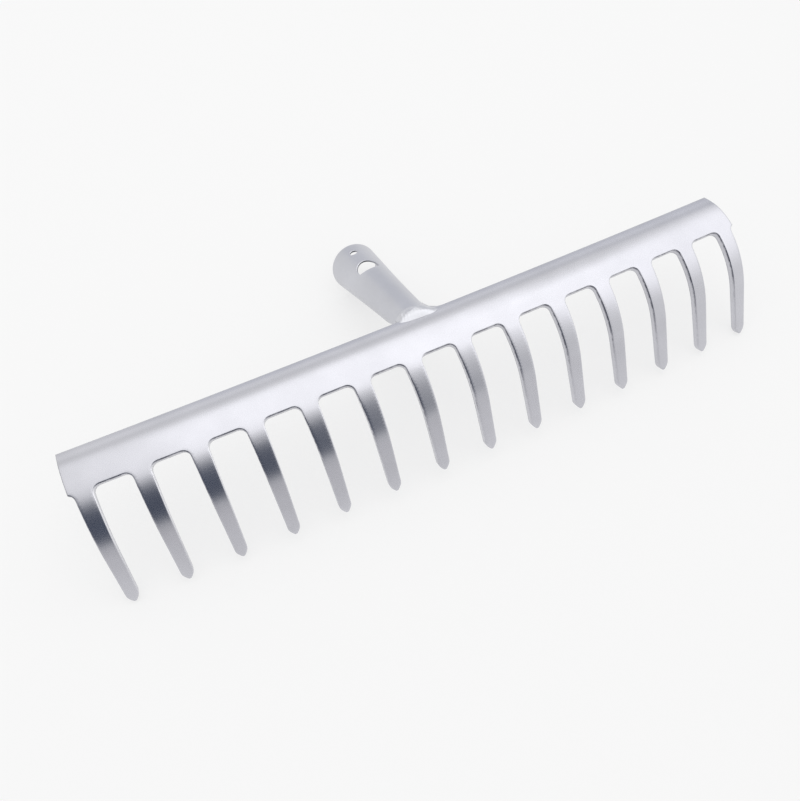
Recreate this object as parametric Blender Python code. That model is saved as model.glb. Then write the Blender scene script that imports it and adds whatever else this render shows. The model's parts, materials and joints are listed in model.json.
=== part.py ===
"""Garden rake head: a pressed sheet-steel comb, a rolled tube socket and the weld beads between them.

The pieces are drawn in a bench frame: X runs along the comb, +Y points along the socket towards the
handle, and the straight ends of the tines point down along -Z. An empty then lays the finished head
down the way it lies on a floor, on its two end tines and the lower rim of the socket's mouth.
"""
import math

import bmesh
import bpy
import numpy as np
from mathutils import Vector

MM = 0.001

# Comb: the flat pattern
TINE_COUNT = 14
PITCH = 26.0 * MM            # middle of one tine to middle of the next
TINE_ROOT_WIDTH = 8.55 * MM  # width of a tine, carried up to the slot line
TINE_TAPER = 0.046           # width lost for each unit of length
TINE_LENGTH = 61.0 * MM      # from the slot line to the tip, along the sheet
TIP_LENGTH = 4.6 * MM        # part of the tine that closes to a point
TIP_WIDTH = 0.9 * MM         # the blunt end of the point
TIP_FULLNESS = 0.85          # below 1, the sides of the point bulge
SLOT_CORNER = 3.5 * MM       # radius in the two corners of a slot
END_OVERHANG = 2.2 * MM      # sheet beyond the outer edge of the first and last tine
REAR_LENGTH = 24.1 * MM      # from the slot line to the rear edge, along the sheet
SHEET = 3.4 * MM             # sheet thickness

# Comb: the bend, on the outer face
REAR_SLOPE = math.radians(1.5)   # fall of the sheet at its rear edge
REAR_RADIUS = 30.8 * MM          # bend behind the slot line
TINE_RADIUS = 42.2 * MM          # bend in front of it, until the tines point straight down
EASE = 10.4 * MM                 # length over which one bend runs into the next
BOW_BACK = 7.25 * MM             # how far the end tines stand behind the middle
BOW_DOWN = 2.3 * MM              # how far the end tines stand below the middle

# Socket
SOCKET_LENGTH = 86.6 * MM
SOCKET_NECK_RADIUS = 7.83 * MM   # outside, at the comb
SOCKET_MOUTH_RADIUS = 13.25 * MM  # outside, at the mouth
SOCKET_WALL = 1.0 * MM
SOCKET_DROP = 4.5 * MM           # axis below the comb's rear upper edge
SOCKET_RISE = math.radians(0.8)  # the axis climbs towards the mouth
NECK_DEPTH = 2.6 * MM            # the neck is pressed flat to this depth under the axis
NECK_LENGTH = 23.0 * MM          # length over which the flat underside turns round again
NECK_SPREAD = 1.1 * MM           # pressing makes the neck this much wider on each side
SPREAD_LENGTH = 56.0 * MM        # length over which that fades
SEAM_GAP = 0.6 * MM              # open butt seam along the underside
HOLE_TURN = math.radians(-6.0)   # the holes stand this far round from the top
NAIL_HOLE_RADIUS = 2.1 * MM
NAIL_HOLE_PLACE = 76.6 * MM      # from the neck's end
DEE_HOLE_WIDTH = 11.6 * MM
DEE_HOLE_LENGTH = 8.8 * MM
DEE_HOLE_PLACE = 54.5 * MM       # corners of the hole's flatter side, from the neck's end
DEE_HOLE_BELLY = 1.6 * MM        # how far that side bulges between its corners

# Weld beads
TOP_BEAD_ENDS = (-12.4 * MM, 15.5 * MM)
UNDER_BEAD_ENDS = (-7.0 * MM, 7.0 * MM)
TOP_BEAD_TOE = 4.1 * MM          # how far the upper bead reaches over the sheet at its middle
UNDER_BEAD_TOE = 2.4 * MM
BEAD_SKEW = 0.09                 # the toe runs this much askew to the sheet's edge
BEAD_LAP = 1.3 * MM              # how far a bead reaches back over the socket
LEAST_LAP = 0.7 * MM
BEAD_CROWN = 0.5 * MM            # how far its face bulges
BEAD_THIN = 0.12 * MM            # thickness left at its edges
BEAD_END_SHARE = 0.15            # its width at the ends, as a share of the width at its middle
LEFT_FILL_RADIUS = 4.0 * MM      # the upper bead rounds the corners beside the socket, seen from above
RIGHT_FILL_RADIUS = 8.0 * MM
FILL_REACH = 5.0 * MM            # how far back this filling climbs along the socket's side
FILL_DEPTH = 2.0 * MM            # how far it hangs down behind the sheet's edge
FILL_FACE = 0.8 * MM             # how far its upper side has sunk where it ends

JOINT_GAP = 0.3 * MM             # play between two pieces that touch

# Fineness of the meshes
SHEET_STEP = 2.6 * MM            # longest step along the bend
LEAST_STEP = 0.15 * MM           # places nearer than this count as one
CORNER_STEPS = 4
TIP_STEPS = 8
TUBE_SIDES = 48
HOLE_STEPS = 14                  # sides in half of a hole's circle
NECK_STEPS = 10                  # rings along the pressed neck
SPREAD_STEPS = 3                 # rings from there to where it is no longer wider
BEAD_STEPS = 40
PROFILE_SAMPLES = 2001
EASE_SAMPLES = 41


def clear_scene():
    """Takes every object out of the scene."""
    for obj in list(bpy.data.objects):
        bpy.data.objects.remove(obj, do_unlink=True)


def metal(name, colour, roughness):
    """Makes a plain metal material."""
    material = bpy.data.materials.new(name)
    material.use_nodes = True
    shader = material.node_tree.nodes["Principled BSDF"]
    shader.inputs["Base Color"].default_value = (*colour, 1.0)
    shader.inputs["Metallic"].default_value = 1.0
    shader.inputs["Roughness"].default_value = roughness
    return material


def add_object(name, bm, material, parent):
    """Turns a bmesh into a smooth-shaded object under the parent."""
    bmesh.ops.recalc_face_normals(bm, faces=bm.faces)
    mesh = bpy.data.meshes.new(name)
    bm.to_mesh(mesh)
    bm.free()
    mesh.shade_smooth()
    mesh.set_sharp_from_angle(angle=math.radians(35.0))
    if material is not None:
        mesh.materials.append(material)
    obj = bpy.data.objects.new(name, mesh)
    bpy.context.scene.collection.objects.link(obj)
    obj.parent = parent
    return obj


# The comb's bend

def bend_stations():
    """Arc lengths, counted from the slot line, where the bend changes, and the slopes there."""
    slot_slope = REAR_SLOPE + REAR_LENGTH / REAR_RADIUS
    bend_end = TINE_RADIUS * (math.pi / 2 - slot_slope)
    return (-REAR_LENGTH, 0.0, bend_end), (REAR_SLOPE, slot_slope, math.pi / 2)


def slope(s):
    """Slope of the outer face below the horizontal at arc length s."""
    places, slopes = bend_stations()
    window = np.linspace(-EASE / 2, EASE / 2, EASE_SAMPLES)
    return float(np.mean(np.interp(s + window, places, slopes)))


def bend_table():
    """Arc lengths and the outer face's Y and Z there, with the slot line at the origin."""
    lengths = np.linspace(-REAR_LENGTH, TINE_LENGTH, PROFILE_SAMPLES)
    slopes = np.array([slope(s) for s in lengths])
    step = lengths[1] - lengths[0]
    dy = -np.cos(slopes) * step
    dz = -np.sin(slopes) * step
    y = np.concatenate([[0.0], np.cumsum((dy[1:] + dy[:-1]) / 2)])
    z = np.concatenate([[0.0], np.cumsum((dz[1:] + dz[:-1]) / 2)])
    return lengths, y - np.interp(0.0, lengths, y), z - np.interp(0.0, lengths, z)


BEND = bend_table()


def bow(x):
    """How far the sheet stands back and down at x."""
    share = (x / (PITCH * (TINE_COUNT - 1) / 2)) ** 2
    return BOW_BACK * share, -BOW_DOWN * share


def outer_point(x, s):
    """Place of the outer face at x along the comb and arc length s."""
    back, up = bow(x)
    y = float(np.interp(s, BEND[0], BEND[1]))
    z = float(np.interp(s, BEND[0], BEND[2]))
    return Vector((x, y + back, z + up))


# The comb's flat pattern

def tine_middles():
    """X of the middle of each tine."""
    return [(i - (TINE_COUNT - 1) / 2) * PITCH for i in range(TINE_COUNT)]


def half_width(s):
    """Half the width of a tine at arc length s, without the corners at its root."""
    straight = (TINE_ROOT_WIDTH - TINE_TAPER * s) / 2
    left = TINE_LENGTH - s
    if left >= TIP_LENGTH:
        return straight
    share = left / TIP_LENGTH
    blunt = TIP_WIDTH / 2
    return blunt + (straight - blunt) * math.sin(share * math.pi / 2) ** TIP_FULLNESS


def corner_flare(s):
    """How much wider a tine's root is on each side at arc length s, for the slots' round corners."""
    left = max(SLOT_CORNER - s, 0.0)
    return SLOT_CORNER - math.sqrt(SLOT_CORNER ** 2 - left ** 2)


def tine_rows():
    """Arc lengths of a tine's rows of vertices, from the slot line to the tip."""
    rows = [SLOT_CORNER * (1 - math.cos(math.pi / 2 * i / CORNER_STEPS)) for i in range(CORNER_STEPS + 1)]
    bend_end = bend_stations()[0][2] + EASE / 2
    tip_start = TINE_LENGTH - TIP_LENGTH
    bent = min(bend_end, tip_start)
    count = max(1, math.ceil((bent - SLOT_CORNER) / SHEET_STEP))
    rows += [SLOT_CORNER + (bent - SLOT_CORNER) * i / count for i in range(1, count + 1)]
    rows.append(tip_start)
    for i in range(1, TIP_STEPS + 1):
        rows.append(tip_start + TIP_LENGTH * math.sin(math.pi / 2 * i / TIP_STEPS))
    return merged(rows)


def merged(values):
    """Sorted values without near repeats."""
    kept = []
    for value in sorted(values):
        if not kept or value - kept[-1] > LEAST_STEP:
            kept.append(value)
    return kept


def tine_sides(index, s):
    """X of the left edge and the right edge of one tine at arc length s."""
    middle = tine_middles()[index]
    half = half_width(s)
    flare = corner_flare(s)
    left = middle - half - flare
    right = middle + half + flare
    if index == 0:
        left = max(left, -comb_end())
    if index == TINE_COUNT - 1:
        right = min(right, comb_end())
    return left, right


def comb_end():
    """X of the comb's end, where the corner beside the last tine is cut off."""
    return tine_middles()[-1] + half_width(0.0) + END_OVERHANG


def comb_pattern():
    """Builds the outer face of the comb as rows of four-sided faces."""
    bm = bmesh.new()
    made = {}

    def vertex(x, s):
        key = (round(x, 7), round(s, 7))
        if key not in made:
            made[key] = bm.verts.new(outer_point(x, s))
        return made[key]

    def strip(row_a, s_a, row_b, s_b):
        for i in range(len(row_a) - 1):
            bm.faces.new((vertex(row_a[i], s_a), vertex(row_a[i + 1], s_a),
                          vertex(row_b[i + 1], s_b), vertex(row_b[i], s_b)))

    for index in range(TINE_COUNT):
        rows = tine_rows()
        for s_a, s_b in zip(rows[:-1], rows[1:]):
            strip(three_across(index, s_a), s_a, three_across(index, s_b), s_b)

    across = [-comb_end(), comb_end()]
    for index in range(TINE_COUNT):
        across += three_across(index, 0.0)
    across = merged(across)
    count = max(1, math.ceil(REAR_LENGTH / SHEET_STEP))
    rows = [-REAR_LENGTH * (1 - i / count) for i in range(count + 1)]
    for s_a, s_b in zip(rows[:-1], rows[1:]):
        strip(across, s_a, across, s_b)
    return bm


def three_across(index, s):
    """X of the left edge, the middle and the right edge of one tine."""
    left, right = tine_sides(index, s)
    return [left, (left + right) / 2, right]


def make_comb(material, parent):
    """The pressed sheet: its outer face, thickened inwards."""
    comb = add_object("comb", comb_pattern(), material, parent)
    outwards = Vector((0.0, -1.0, 1.0))
    if comb.data.polygons[0].normal.dot(outwards) < 0:
        comb.data.flip_normals()
    thicken = comb.modifiers.new("sheet thickness", "SOLIDIFY")
    thicken.thickness = SHEET
    thicken.offset = -1.0
    thicken.use_even_offset = True
    return comb


# The socket

def rear_edge():
    """Middle of the comb's rear upper edge."""
    return outer_point(0.0, -REAR_LENGTH)


def rear_lean():
    """How far the lower edge of the comb's rear face stands behind its upper edge."""
    ahead = outer_point(0.0, -REAR_LENGTH + LEAST_STEP) - rear_edge()
    return -SHEET * ahead.z / ahead.length


def socket_axis():
    """Start of the socket's axis, its direction, and the direction square to it that points up."""
    along = Vector((0.0, math.cos(SOCKET_RISE), math.sin(SOCKET_RISE)))
    up = Vector((0.0, -math.sin(SOCKET_RISE), math.cos(SOCKET_RISE)))
    start = rear_edge() - up * SOCKET_DROP + along * (JOINT_GAP + rear_lean())
    return start, along, up


def tube_radius(t):
    """Outer radius of the socket at distance t from its neck end."""
    return SOCKET_NECK_RADIUS + (SOCKET_MOUTH_RADIUS - SOCKET_NECK_RADIUS) * t / SOCKET_LENGTH


def tube_width(t):
    """Half the width of the socket's outside, more than the radius where the neck is pressed."""
    left = max(1.0 - t / SPREAD_LENGTH, 0.0)
    return tube_radius(t) + NECK_SPREAD * left ** 2


def tube_depth(t):
    """Depth of the socket's outside below its axis, less than the radius where the neck is pressed."""
    share = min(t / NECK_LENGTH, 1.0)
    eased = share * share * (3.0 - 2.0 * share)
    return NECK_DEPTH + (tube_radius(t) - NECK_DEPTH) * eased


def tube_point(t, angle, inset):
    """Point of the socket at distance t, turned by angle from the top, inset into the wall."""
    start, along, up = socket_axis()
    tall = tube_radius(t) if math.cos(angle) > 0 else tube_depth(t)
    across = math.sin(angle) * (tube_width(t) - inset)
    return start + along * t + Vector((across, 0.0, 0.0)) + up * (math.cos(angle) * (tall - inset))


def tube_stations():
    """Distances of the socket's rings from its neck end."""
    neck = [NECK_LENGTH * i / NECK_STEPS for i in range(NECK_STEPS + 1)]
    step = (SPREAD_LENGTH - NECK_LENGTH) / SPREAD_STEPS
    spread = [NECK_LENGTH + step * (i + 1) for i in range(SPREAD_STEPS)]
    return neck + spread + [SOCKET_LENGTH]


def socket_body():
    """Builds the tube: the outside from neck to mouth, then the inside back again."""
    bm = bmesh.new()
    stations = tube_stations()
    places = [(t, 0.0) for t in stations] + [(t, SOCKET_WALL) for t in reversed(stations)]
    rings = []
    for t, inset in places:
        ring = []
        for i in range(TUBE_SIDES):
            angle = 2 * math.pi * (i + 0.5) / TUBE_SIDES
            ring.append(bm.verts.new(tube_point(t, angle, inset)))
        rings.append(ring)
    for ring_a, ring_b in zip(rings, rings[1:] + rings[:1]):
        for i in range(TUBE_SIDES):
            j = (i + 1) % TUBE_SIDES
            bm.faces.new((ring_a[i], ring_a[j], ring_b[j], ring_b[i]))
    return bm


def dee_outline():
    """The larger hole's outline, as pairs of distance across and distance towards the mouth."""
    half = DEE_HOLE_WIDTH / 2
    straight = DEE_HOLE_LENGTH - half
    outline = []
    for i in range(HOLE_STEPS + 1):
        angle = math.pi * (1 - i / HOLE_STEPS)
        outline.append((half * math.cos(angle), straight + half * math.sin(angle)))
    for i in range(HOLE_STEPS // 2 + 1):
        across = half * (1 - 2 * i / (HOLE_STEPS // 2))
        outline.append((across, -DEE_HOLE_BELLY * (1 - (across / half) ** 2)))
    return outline


def round_outline():
    """The nail hole's outline."""
    angles = [math.pi * i / HOLE_STEPS for i in range(2 * HOLE_STEPS)]
    return [(NAIL_HOLE_RADIUS * math.cos(angle), NAIL_HOLE_RADIUS * math.sin(angle)) for angle in angles]


def hole_cutter(name, outline, place, parent):
    """A prism that cuts a hole through the upper wall of the socket."""
    start, along, up = socket_axis()
    side = Vector((1.0, 0.0, 0.0))
    outwards = up * math.cos(HOLE_TURN) + side * math.sin(HOLE_TURN)
    across = side * math.cos(HOLE_TURN) - up * math.sin(HOLE_TURN)
    bm = bmesh.new()
    floor = [bm.verts.new(start + along * (place + b) + across * a + outwards * SOCKET_WALL)
             for a, b in outline]
    face = bm.faces.new(floor)
    lifted = bmesh.ops.extrude_face_region(bm, geom=[face])["geom"]
    tops = [item for item in lifted if isinstance(item, bmesh.types.BMVert)]
    bmesh.ops.translate(bm, verts=tops, vec=outwards * (SOCKET_MOUTH_RADIUS + SOCKET_WALL))
    return cutter_object(name, bm, parent)


def seam_cutter(parent):
    """A thin slab that opens the butt seam along the underside."""
    start, along, up = socket_axis()
    half = Vector((SEAM_GAP / 2, 0.0, 0.0))
    first = start - along * SOCKET_WALL
    last = start + along * (SOCKET_LENGTH + SOCKET_WALL)
    bm = bmesh.new()
    corners = [bm.verts.new(point) for point in (first - half, first + half, last + half, last - half)]
    face = bm.faces.new(corners)
    dropped = bmesh.ops.extrude_face_region(bm, geom=[face])["geom"]
    lows = [item for item in dropped if isinstance(item, bmesh.types.BMVert)]
    bmesh.ops.translate(bm, verts=lows, vec=-up * (SOCKET_MOUTH_RADIUS + SOCKET_WALL))
    return cutter_object("seam_cutter", bm, parent)


def cutter_object(name, bm, parent):
    """A cutter that shows as wire and stays out of renders."""
    cutter = add_object(name, bm, None, parent)
    cutter.display_type = "WIRE"
    cutter.hide_render = True
    return cutter


def make_socket(material, parent):
    """The rolled tube with its nail hole, its D-shaped hole and its seam."""
    socket = add_object("socket", socket_body(), material, parent)
    cutters = (hole_cutter("nail_hole_cutter", round_outline(), NAIL_HOLE_PLACE, parent),
               hole_cutter("dee_hole_cutter", dee_outline(), DEE_HOLE_PLACE, parent),
               seam_cutter(parent))
    for cutter in cutters:
        cut = socket.modifiers.new(cutter.name, "BOOLEAN")
        cut.operation = "DIFFERENCE"
        cut.solver = "EXACT"
        cut.object = cutter
    return socket


# The weld beads

def shell_height(x, back, side):
    """Height at x of the socket's skin plus the gap, a distance back from the comb's rear edge."""
    start, along, up = socket_axis()
    t = max(back, 0.0)
    wide = tube_width(t) + JOINT_GAP
    tall = (tube_radius(t) if side > 0 else tube_depth(t)) + JOINT_GAP
    return start.z + along.z * t + side * tall * math.sqrt(max(1.0 - (x / wide) ** 2, 0.0))


def corner_fill(x):
    """How far behind the comb's rear edge the upper bead fills the corner beside the socket at x."""
    radius = RIGHT_FILL_RADIUS if x > 0 else LEFT_FILL_RADIUS
    neck = tube_width(0.0)
    beside = abs(x) - neck - JOINT_GAP
    if beside > 0:
        left = max(radius - beside, 0.0)
        return min(radius - math.sqrt(radius ** 2 - left ** 2), FILL_REACH)
    climb = max(1.0 + 2.0 * beside / neck, 0.0)
    return min(radius, FILL_REACH) * climb ** 2


def bead_section(x, ends, toe_reach, side):
    """Closed section of a bead at x, as points in the YZ plane; side is 1 above the sheet, -1 below."""
    from_middle = (2.0 * x - ends[0] - ends[1]) / (ends[1] - ends[0])
    fade = math.sqrt(max(1.0 - from_middle ** 2, 0.0))
    reach = BEAD_END_SHARE + (1.0 - BEAD_END_SHARE) * fade
    depth = 0.0 if side > 0 else SHEET
    edge = outer_point(x, -REAR_LENGTH)
    toe_length = (toe_reach + BEAD_SKEW * x) * reach
    toe_s = -REAR_LENGTH + toe_length
    toe = outer_point(x, toe_s).z - depth / math.cos(slope(toe_s)) + side * JOINT_GAP
    foot = edge.z - depth + side * JOINT_GAP
    lap = BEAD_LAP * reach
    least = foot + side * BEAD_CROWN
    if side > 0:
        lap = max(lap + corner_fill(x), LEAST_LAP)
        least = foot - FILL_DEPTH
    near = side * max(side * shell_height(x, 0.0, side), side * least)
    far = side * max(side * shell_height(x, lap, side), side * least)
    crest = side * max(side * near, side * foot) + side * BEAD_CROWN
    lap_top = side * max(side * far + BEAD_THIN, side * foot - FILL_FACE)
    hangs = side > 0 and near < foot
    clear = JOINT_GAP if hangs else 0.0
    lean = rear_lean() if hangs else 0.0
    return [Vector((x, edge.y - toe_length, toe)),
            Vector((x, edge.y + clear, foot)),
            Vector((x, edge.y + clear + lean, near)),
            Vector((x, edge.y + lap, far)),
            Vector((x, edge.y + lap, lap_top)),
            Vector((x, edge.y + clear, crest)),
            Vector((x, edge.y - toe_length / 2, (crest + toe) / 2)),
            Vector((x, edge.y - toe_length, toe + side * BEAD_THIN))]


def bead_body(ends, toe_reach, side):
    """Lofts a bead along X through its sections."""
    bm = bmesh.new()
    rings = []
    for i in range(BEAD_STEPS + 1):
        x = ends[0] + (ends[1] - ends[0]) * i / BEAD_STEPS
        rings.append([bm.verts.new(point) for point in bead_section(x, ends, toe_reach, side)])
    for ring_a, ring_b in zip(rings[:-1], rings[1:]):
        for i in range(len(ring_a)):
            j = (i + 1) % len(ring_a)
            bm.faces.new((ring_a[i], ring_a[j], ring_b[j], ring_b[i]))
    bm.faces.new(list(reversed(rings[0])))
    bm.faces.new(rings[-1])
    return bm


# The resting place

def outline_points(objects):
    """Every vertex of the finished objects, in the bench frame."""
    depsgraph = bpy.context.evaluated_depsgraph_get()
    points = []
    for obj in objects:
        evaluated = obj.evaluated_get(depsgraph)
        mesh = evaluated.to_mesh()
        points.append(np.array([vertex.co[:] for vertex in mesh.vertices]))
        evaluated.to_mesh_clear()
    return points


def rest_tilt(comb_points, socket_points):
    """Angle of the line that touches the tines' tips and the mouth's rim from below."""
    tilt = 0.0
    for _ in range(6):
        down = np.array([math.sin(tilt), -math.cos(tilt)])
        tip = comb_points[np.argmax(comb_points[:, 1:] @ down)]
        rim = socket_points[np.argmax(socket_points[:, 1:] @ down)]
        tilt = math.atan2(rim[2] - tip[2], rim[1] - tip[1])
    return tilt


def lay_down(parent, comb, socket, others):
    """Turns the head on to its tips and mouth, with its box's lowest middle at the origin."""
    bpy.context.view_layer.update()
    clouds = outline_points([comb, socket] + others)
    tilt = rest_tilt(clouds[0], clouds[1])
    points = np.concatenate(clouds)
    y = points[:, 1] * math.cos(tilt) + points[:, 2] * math.sin(tilt)
    z = -points[:, 1] * math.sin(tilt) + points[:, 2] * math.cos(tilt)
    x = points[:, 0]
    parent.rotation_euler = (-tilt, 0.0, 0.0)
    parent.location = (-(x.min() + x.max()) / 2, -(y.min() + y.max()) / 2, -z.min())
    bpy.context.view_layer.update()


def main():
    """Builds the rake head."""
    clear_scene()
    parent = bpy.data.objects.new("rake_head", None)
    bpy.context.scene.collection.objects.link(parent)
    zinc = metal("zinc_sheet", (0.72, 0.73, 0.75), 0.28)
    tube_zinc = metal("zinc_tube", (0.68, 0.69, 0.72), 0.34)
    weld = metal("weld_metal", (0.74, 0.75, 0.77), 0.40)
    comb = make_comb(zinc, parent)
    socket = make_socket(tube_zinc, parent)
    top_bead = bead_body(TOP_BEAD_ENDS, TOP_BEAD_TOE, 1.0)
    under_bead = bead_body(UNDER_BEAD_ENDS, UNDER_BEAD_TOE, -1.0)
    weld_top = add_object("weld_top", top_bead, weld, parent)
    weld_under = add_object("weld_under", under_bead, weld, parent)
    lay_down(parent, comb, socket, [weld_top, weld_under])


main()
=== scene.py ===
"""Looks of the garden rake head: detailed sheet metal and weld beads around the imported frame.

The comb and the socket are made flat first, as patterns with rounded sheared edges, and are then
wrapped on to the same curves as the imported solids. Sizes are in metres. The pieces are worked out in
a bench frame, where the tines point straight down, and are then laid down as the frame lies.
"""
import json
import math

import bpy
import numpy as np
from mathutils import Matrix, Vector, geometry, kdtree


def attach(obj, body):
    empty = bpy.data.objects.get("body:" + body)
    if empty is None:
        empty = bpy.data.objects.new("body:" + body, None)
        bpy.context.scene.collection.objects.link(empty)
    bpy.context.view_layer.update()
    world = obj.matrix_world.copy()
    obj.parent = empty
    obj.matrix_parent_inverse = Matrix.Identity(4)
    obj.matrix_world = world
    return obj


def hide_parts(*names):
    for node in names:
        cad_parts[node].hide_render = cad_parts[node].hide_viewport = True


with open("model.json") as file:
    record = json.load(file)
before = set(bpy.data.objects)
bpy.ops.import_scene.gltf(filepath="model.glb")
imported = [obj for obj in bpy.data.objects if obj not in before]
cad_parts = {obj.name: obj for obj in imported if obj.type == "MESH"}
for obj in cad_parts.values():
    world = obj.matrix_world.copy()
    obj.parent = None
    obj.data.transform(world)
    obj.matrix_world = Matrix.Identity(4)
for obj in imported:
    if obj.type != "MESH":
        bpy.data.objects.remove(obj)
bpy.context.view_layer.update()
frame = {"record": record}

MM = 0.001

# Comb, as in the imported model
TINE_COUNT = 14
PITCH = 26.0 * MM
TINE_ROOT_WIDTH = 8.55 * MM
TINE_TAPER = 0.046           # width lost for each unit of length
TINE_LENGTH = 61.0 * MM      # from the slot line to the tip, along the sheet
TIP_LENGTH = 4.6 * MM
TIP_WIDTH = 0.9 * MM
TIP_FULLNESS = 0.85          # below 1, the sides of the point bulge
SLOT_CORNER = 3.5 * MM
END_OVERHANG = 2.2 * MM      # sheet beyond the outer edge of the first and last tine
REAR_LENGTH = 24.1 * MM      # from the slot line to the rear edge, along the sheet
SHEET = 3.4 * MM
REAR_SLOPE = math.radians(1.5)
REAR_RADIUS = 30.8 * MM
TINE_RADIUS = 42.2 * MM
EASE = 10.4 * MM             # length over which one bend runs into the next
BOW_BACK = 7.25 * MM         # how far the end tines stand behind the middle
BOW_DOWN = 2.3 * MM          # how far the end tines stand below the middle

# Socket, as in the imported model
SOCKET_LENGTH = 86.6 * MM
SOCKET_NECK_RADIUS = 7.83 * MM
SOCKET_MOUTH_RADIUS = 13.25 * MM
SOCKET_WALL = 1.0 * MM
SOCKET_DROP = 4.5 * MM
SOCKET_RISE = math.radians(0.8)
NECK_DEPTH = 2.6 * MM
NECK_LENGTH = 23.0 * MM
NECK_SPREAD = 1.1 * MM
SPREAD_LENGTH = 56.0 * MM
SEAM_GAP = 0.6 * MM
HOLE_TURN = math.radians(-6.0)
NAIL_HOLE_RADIUS = 2.1 * MM
NAIL_HOLE_PLACE = 76.6 * MM
DEE_HOLE_WIDTH = 11.6 * MM
DEE_HOLE_LENGTH = 8.8 * MM
DEE_HOLE_PLACE = 54.5 * MM
DEE_HOLE_BELLY = 1.6 * MM
JOINT_GAP = 0.3 * MM
MIDDLE_RADIUS = (SOCKET_NECK_RADIUS + SOCKET_MOUTH_RADIUS) / 2

# Edges of the sheet
SHEAR_ROUND = 0.60 * MM      # the punch draws the comb's outer edge down this far
TUBE_ROUND = 0.40 * MM       # and the tube's
BURR_ROUND = 0.20 * MM       # the edge on the inner side stays sharper

# Line that the press leaves along the rear of the comb
GROOVE_PLACE = 18.3 * MM     # behind the slot line
GROOVE_WIDTH = 1.8 * MM
GROOVE_DEPTH = 0.10 * MM
GROOVE_WANDERS = (           # how far it strays, and the length that this goes with
    (0.25 * MM, 31.0 * MM),
    (0.15 * MM, 11.0 * MM),
)

# Wear and painted shade on the cuts, painted highlights, and painted shading along the pressed line
ARRIS_WIDTH = 0.5            # an edge's wear, painted shade and painted highlight fade over this share of its rounding
ARRIS_FULL = 0.4             # once it has been full over this share of that
FACING_TURN = 1.5            # how fast a cut goes from worn with painted shade, on a tine's left, to a painted highlight on its right
HIGHLIGHT_FROM = 0.5            # how much of that turn comes before the painted highlight
INNER_WEAR_AND_SHADE = 0.4             # share of the wear and painted shade on the inner side of the sheet
WALL_WEAR_AND_SHADE = (1.0, 0.15, 0.0)    # and on the rings down the cut face, where this wear and painted shade fade out
# shares of the painted highlight on the rings down the cut face
WALL_HIGHLIGHT = (1.0, 0.1, 0.0)
# no painted crease shading on the cut faces
WALL_CREASE_SHADING = (0.0, 0.0, 0.0)
TIPS_LOSE = 0.85             # share of the wear, painted shade and painted highlight of the cuts that the tines have lost at their tips
TIPS_LOSE_FROM = 22.0 * MM   # in front of the slot line
TIPS_LOSE_OVER = 20.0 * MM
ENDS_DARKENED = 1.0 * MM           # the comb's two ends take the cuts' full darkening this far in, whichever way they face
CREASE_SHADING_BANDS = (               # painted highlight and painted shade along the pressed line and the rear edge: place behind the slot line, width, and tone, above 0 if it is paler
    (GROOVE_PLACE + 1.6 * MM, 1.3 * MM, 1.0),
    (GROOVE_PLACE - 1.4 * MM, 1.5 * MM, -1.0),
    (REAR_LENGTH - 0.9 * MM, 0.8 * MM, -0.8),
)
TUBE_WEAR_AND_SHADE = 0.3              # the tube's cuts have less wear and painted shade than the comb's
# share of the painted highlight kept on the tube's cuts
TUBE_HIGHLIGHT = 0.5

# Fineness
OUTLINE_STEP = 0.6 * MM
REAR_STEP = 1.0 * MM
ROW_STEP = 0.85 * MM
STRIP_COLUMN = 2.0 * MM
TINE_COLUMNS = 5
FILLET_STEPS = 8
TIP_STEPS = 14
PROFILE_SAMPLES = 2001
PROFILE_MARGIN = 1.0 * MM
EASE_SAMPLES = 41
NAIL_HOLE_POINTS = 40
DEE_ARC_POINTS = 33
DEE_BASE_POINTS = 21
DEE_SIDE_STEP = 0.5 * MM
RING_SHARES = (0.12, 0.3, 0.6, 1.0)  # rings of points beside an edge, as shares of its rounding
RING_ROOM = 0.93             # a ring's point stays if it is this share of its distance from any edge
GRID_ROOM = 0.45             # rows that stay free between the rings and the points inside
WALL_SHARES = (0.05, 0.14, 0.6)      # rings down the cut face, as shares of its height
TESTED_AT_ONCE = 1500
LEAST_RISE = 1e-12
MERGE_DISTANCE = 1e-5        # in millimetres
SLOPE_STEP = 0.02 * MM       # for the direction that a surface faces
LEAN_STEP = 0.15 * MM        # for the direction of the comb's rear edge


def eased(share):
    """Turns an even rise from 0 to 1 into one that starts and ends softly."""
    return share * share * (3.0 - 2.0 * share)


# Flat patterns

def loop_area(loop):
    """Signed area of a closed loop."""
    ahead = np.roll(loop, -1, axis=0)
    return float(np.sum(loop[:, 0] * ahead[:, 1] - ahead[:, 0] * loop[:, 1]) / 2)


def spaced(start, end, step):
    """Points from start up to, but not including, end."""
    start = np.array(start, float)
    end = np.array(end, float)
    count = max(1, int(math.ceil(np.linalg.norm(end - start) / step)))
    shares = np.arange(count)[:, None] / count
    return start + (end - start) * shares


def left_offsets(loop):
    """For each point of a loop, the move that takes it one unit to the loop's left."""
    ahead = np.roll(loop, -1, axis=0) - loop
    ahead /= np.linalg.norm(ahead, axis=1)[:, None]
    left = np.stack([-ahead[:, 1], ahead[:, 0]], axis=1)
    before = np.roll(left, 1, axis=0)
    turn = np.sum(left * before, axis=1)
    return (left + before) / (1.0 + turn)[:, None]


def tree_of(points):
    """A search tree of flat points."""
    tree = kdtree.KDTree(len(points))
    for index, point in enumerate(points):
        tree.insert((point[0], point[1], 0.0), index)
    tree.balance()
    return tree


def far_enough(points, tree, distance):
    """Which points lie at least a distance from the outline."""
    return np.array([tree.find((p[0], p[1], 0.0))[2] >= distance for p in points], bool)


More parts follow.
